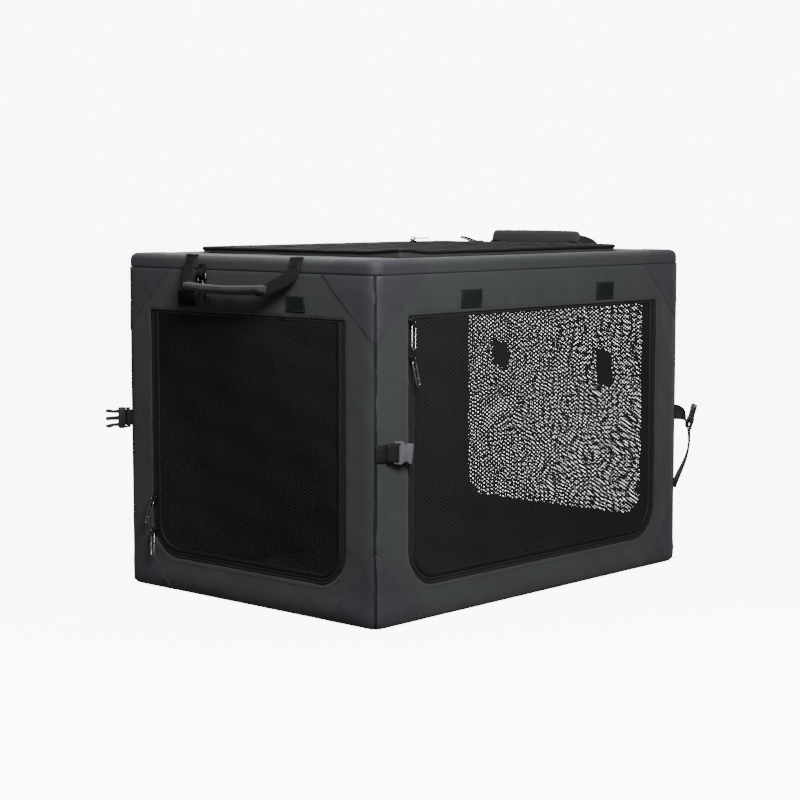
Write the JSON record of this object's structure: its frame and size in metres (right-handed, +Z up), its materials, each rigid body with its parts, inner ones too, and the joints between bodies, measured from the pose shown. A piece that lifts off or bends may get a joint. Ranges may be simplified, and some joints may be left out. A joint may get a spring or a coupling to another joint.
{
  "type": "folding dog crate",
  "caption": "Soft-sided folding pet crate: fabric walls with zipped mesh doors over a folding tube frame, with end carry handles and holding straps.",
  "frame": {"origin": "middle of the crate's underside, on the surface that it stands on", "axes": "+Z up, +X along the crate to its right end, the long side with the mesh door faces -Y"},
  "size_m": [0.6513, 0.4629, 0.4447],
  "materials": {
    "bracket": "black moulded nylon",
    "buckle": "black satin acetal",
    "cover": "dark green-grey woven polyester",
    "floor": "dark woven polyester with a stiff board inside",
    "grip": "dark fabric wrapped round foam",
    "hook_metal": "dark nickel plate",
    "mat": "dark grey fleece",
    "mesh": "black nylon mesh",
    "tube": "black powder-coated steel tube",
    "webbing": "black woven webbing",
    "zip_metal": "bright nickel plate"
  },
  "bodies": {
    "base": {"base_ring": "tube", "base_bracket_front_left": "bracket", "base_bracket_front_right": "bracket", "base_bracket_back_left": "bracket", "base_bracket_back_right": "bracket", "floor_panel": "floor", "floor_mat": "mat", "front_wall": "cover", "back_wall": "cover", "left_wall": "cover", "right_wall": "cover"},
    "left_lower_posts": {"lower_post_front_left": "tube", "lower_post_back_left": "tube"},
    "left_upper_posts": {"upper_post_front_left": "tube", "upper_post_back_left": "tube"},
    "right_lower_posts": {"lower_post_front_right": "tube", "lower_post_back_right": "tube"},
    "right_upper_posts": {"upper_post_front_right": "tube", "upper_post_back_right": "tube"},
    "top": {"top_ring": "tube", "top_bracket_front_left": "bracket", "top_bracket_front_right": "bracket", "top_bracket_back_left": "bracket", "top_bracket_back_right": "bracket", "roof_panel": "cover"},
    "front_door": {"front_door": "mesh"},
    "left_end_door": {"left_end_door": "mesh"},
    "right_end_door": {"right_end_door": "mesh"},
    "roof_door": {"roof_door": "mesh"},
    "front_upper_slider": {"front_upper_slider": "zip_metal"},
    "front_upper_pull": {"front_upper_pull": "zip_metal"},
    "front_lower_slider": {"front_lower_slider": "zip_metal"},
    "front_lower_pull": {"front_lower_pull": "zip_metal"},
    "left_upper_slider": {"left_upper_slider": "zip_metal"},
    "left_upper_pull": {"left_upper_pull": "zip_metal"},
    "left_lower_slider": {"left_lower_slider": "zip_metal"},
    "left_lower_pull": {"left_lower_pull": "zip_metal"},
    "right_end_slider": {"right_end_slider": "zip_metal"},
    "right_end_pull": {"right_end_pull": "zip_metal"},
    "roof_slider": {"roof_slider": "zip_metal"},
    "roof_pull": {"roof_pull": "zip_metal"},
    "left_handle": {"left_handle_strap": "webbing", "left_handle_grip": "grip"},
    "right_handle": {"right_handle_strap": "webbing", "right_handle_grip": "grip"},
    "left_hook": {"left_hook_tab": "webbing", "left_hook": "hook_metal"},
    "right_hook": {"right_hook_tab": "webbing", "right_hook": "hook_metal"},
    "left_gate": {"left_hook_gate": "zip_metal"},
    "right_gate": {"right_hook_gate": "zip_metal"},
    "mid_straps": {"strap_front_left": "webbing", "strap_front_right": "webbing", "strap_back_left": "webbing", "strap_back_right": "webbing", "strap_tail": "webbing"},
    "buckle_socket_front_left": {"buckle_socket_front_left": "buckle"},
    "buckle_socket_back_right": {"buckle_socket_back_right": "buckle"},
    "buckle_plug_back_left": {"buckle_plug_back_left": "buckle"},
    "buckle_plug_front_right": {"buckle_plug_front_right": "buckle"}
  },
  "joints": [
    {"name": "fold", "type": "hinge", "parent": "base", "child": "left_lower_posts", "pos_m": [-0.2669, 0, 0.0238], "axis": [0, 1, 0], "range_deg": [0, 84], "deforming": ["front_wall", "back_wall", "left_wall", "right_wall", "front_door", "left_end_door", "right_end_door", "strap_tail"]},
    {"name": "left_knee", "type": "hinge", "parent": "left_lower_posts", "child": "left_upper_posts", "pos_m": [-0.2669, 0, 0.21], "axis": [0, 1, 0], "range_deg": [-168, 0]},
    {"name": "left_top", "type": "hinge", "parent": "left_upper_posts", "child": "top", "pos_m": [-0.2669, 0, 0.3962], "axis": [0, 1, 0], "range_deg": [0, 84]},
    {"name": "right_base", "type": "hinge", "parent": "base", "child": "right_lower_posts", "pos_m": [0.2669, 0, 0.0238], "axis": [0, 1, 0], "range_deg": [-84, 0]},
    {"name": "right_knee", "type": "hinge", "parent": "right_lower_posts", "child": "right_upper_posts", "pos_m": [0.2669, 0, 0.21], "axis": [0, 1, 0], "range_deg": [0, 168]},
    {"name": "front_door_swing", "type": "hinge", "parent": "base", "child": "front_door", "pos_m": [0, -0.215, 0.35575], "axis": [1, 0, 0], "range_deg": [-100, 0]},
    {"name": "left_end_door_swing", "type": "hinge", "parent": "base", "child": "left_end_door", "pos_m": [-0.2975, 0, 0.35075], "axis": [0, -1, 0], "range_deg": [-100, 0]},
    {"name": "right_end_door_swing", "type": "hinge", "parent": "base", "child": "right_end_door", "pos_m": [0.2975, 0, 0.35075], "axis": [0, 1, 0], "range_deg": [-100, 0]},
    {"name": "roof_door_swing", "type": "hinge", "parent": "top", "child": "roof_door", "pos_m": [-0.21, 0, 0.4267], "axis": [0, 1, 0], "range_deg": [-110, 0]},
    {"name": "front_upper_zip", "type": "slide", "parent": "front_door", "child": "front_upper_slider", "axis": [0, 0, 1], "range_m": [-0.008, 0]},
    {"name": "front_upper_pull_swing", "type": "hinge", "parent": "front_upper_slider", "child": "front_upper_pull", "pos_m": [-0.239, -0.2199, 0.3454], "axis": [1, 0, 0], "range_deg": [-70, 10]},
    {"name": "front_lower_zip", "type": "slide", "parent": "front_door", "child": "front_lower_slider", "axis": [0, 0, 1], "range_m": [-0.2, 0]},
    {"name": "front_lower_pull_swing", "type": "hinge", "parent": "front_lower_slider", "child": "front_lower_pull", "pos_m": [-0.239, -0.2199, 0.3044], "axis": [1, 0, 0], "range_deg": [-70, 10]},
    {"name": "left_upper_zip", "type": "slide", "parent": "left_end_door", "child": "left_upper_slider", "axis": [0, 0, -1], "range_m": [-0.21, 0]},
    {"name": "left_upper_pull_swing", "type": "hinge", "parent": "left_upper_slider", "child": "left_upper_pull", "pos_m": [-0.3024, 0.164, 0.1104], "axis": [0, -1, 0], "range_deg": [-70, 10]},
    {"name": "left_lower_zip", "type": "slide", "parent": "left_end_door", "child": "left_lower_slider", "axis": [0, 0, -1], "range_m": [-0.006, 0]},
    {"name": "left_lower_pull_swing", "type": "hinge", "parent": "left_lower_slider", "child": "left_lower_pull", "pos_m": [-0.3024, 0.164, 0.0704], "axis": [0, -1, 0], "range_deg": [-70, 10]},
    {"name": "right_end_zip", "type": "slide", "parent": "right_end_door", "child": "right_end_slider", "axis": [0, 0, 1], "range_m": [-0.19, 0]},
    {"name": "right_end_pull_swing", "type": "hinge", "parent": "right_end_slider", "child": "right_end_pull", "pos_m": [0.3024, -0.164, 0.2984], "axis": [0, 1, 0], "range_deg": [-70, 10]},
    {"name": "roof_zip", "type": "slide", "parent": "roof_door", "child": "roof_slider", "axis": [1, 0, 0], "range_m": [-0.34, 0]},
    {"name": "roof_pull_swing", "type": "hinge", "parent": "roof_slider", "child": "roof_pull", "pos_m": [0.1916, 0.168, 0.4316], "axis": [0, 1, 0], "range_deg": [-70, 0]},
    {"name": "left_handle_swing", "type": "hinge", "parent": "top", "child": "left_handle", "pos_m": [-0.2967, 0, 0.4192], "axis": [0, 1, 0], "range_deg": [0, 223]},
    {"name": "right_handle_swing", "type": "hinge", "parent": "top", "child": "right_handle", "pos_m": [0.2967, 0, 0.4192], "axis": [0, -1, 0], "range_deg": [-223, 0]},
    {"name": "left_hook_swing", "type": "hinge", "parent": "top", "child": "left_hook", "pos_m": [-0.3014, 0.069, 0.4095], "axis": [1, 0, 0], "range_deg": [-80, 0]},
    {"name": "right_hook_swing", "type": "hinge", "parent": "top", "child": "right_hook", "pos_m": [0.2825, 0.11, 0.4239], "axis": [0, 0, 1], "range_deg": [-90, 0]},
    {"name": "left_gate_spring", "type": "hinge", "parent": "left_hook", "child": "left_gate", "pos_m": [-0.3014, 0.0635, 0.3765], "axis": [-1, 0, 0], "range_deg": [-25, 0], "stiffness_Nm_per_rad": 0.002, "springref_deg": 17.19},
    {"name": "right_gate_spring", "type": "hinge", "parent": "right_hook", "child": "right_gate", "pos_m": [0.277, 0.143, 0.4239], "axis": [0, 0, 1], "range_deg": [-25, 0], "stiffness_Nm_per_rad": 0.002, "springref_deg": 17.19},
    {"name": "strap_drop", "type": "slide", "parent": "base", "child": "mid_straps", "axis": [0, 0, 1], "range_m": [-0.161, 0]},
    {"name": "socket_front_left_swing", "type": "hinge", "parent": "mid_straps", "child": "buckle_socket_front_left", "pos_m": [-0.2695, -0.2197, 0.203], "axis": [0, 0, 1], "range_deg": [-120, 0]},
    {"name": "socket_back_right_swing", "type": "hinge", "parent": "mid_straps", "child": "buckle_socket_back_right", "pos_m": [0.2695, 0.2197, 0.203], "axis": [0, 0, 1], "range_deg": [-120, 0]},
    {"name": "plug_back_left_swing", "type": "hinge", "parent": "mid_straps", "child": "buckle_plug_back_left", "pos_m": [-0.29904, 0.21203, 0.213], "axis": [0, 0, 1], "range_deg": [-45, 45]},
    {"name": "plug_front_right_swing", "type": "hinge", "parent": "mid_straps", "child": "buckle_plug_front_right", "pos_m": [0.30745, -0.22495, 0.183], "axis": [-0.7071, -0.7071, 0], "range_deg": [-90, 0]}
  ],
  "couplings": [
    {"joint": "left_knee", "follows": "fold", "ratio": -2},
    {"joint": "left_top", "follows": "fold", "ratio": 1},
    {"joint": "right_base", "follows": "fold", "ratio": -1},
    {"joint": "right_knee", "follows": "fold", "ratio": 2},
    {"joint": "strap_drop", "follows": "fold", "m_per_rad": -0.10913}
  ]
}
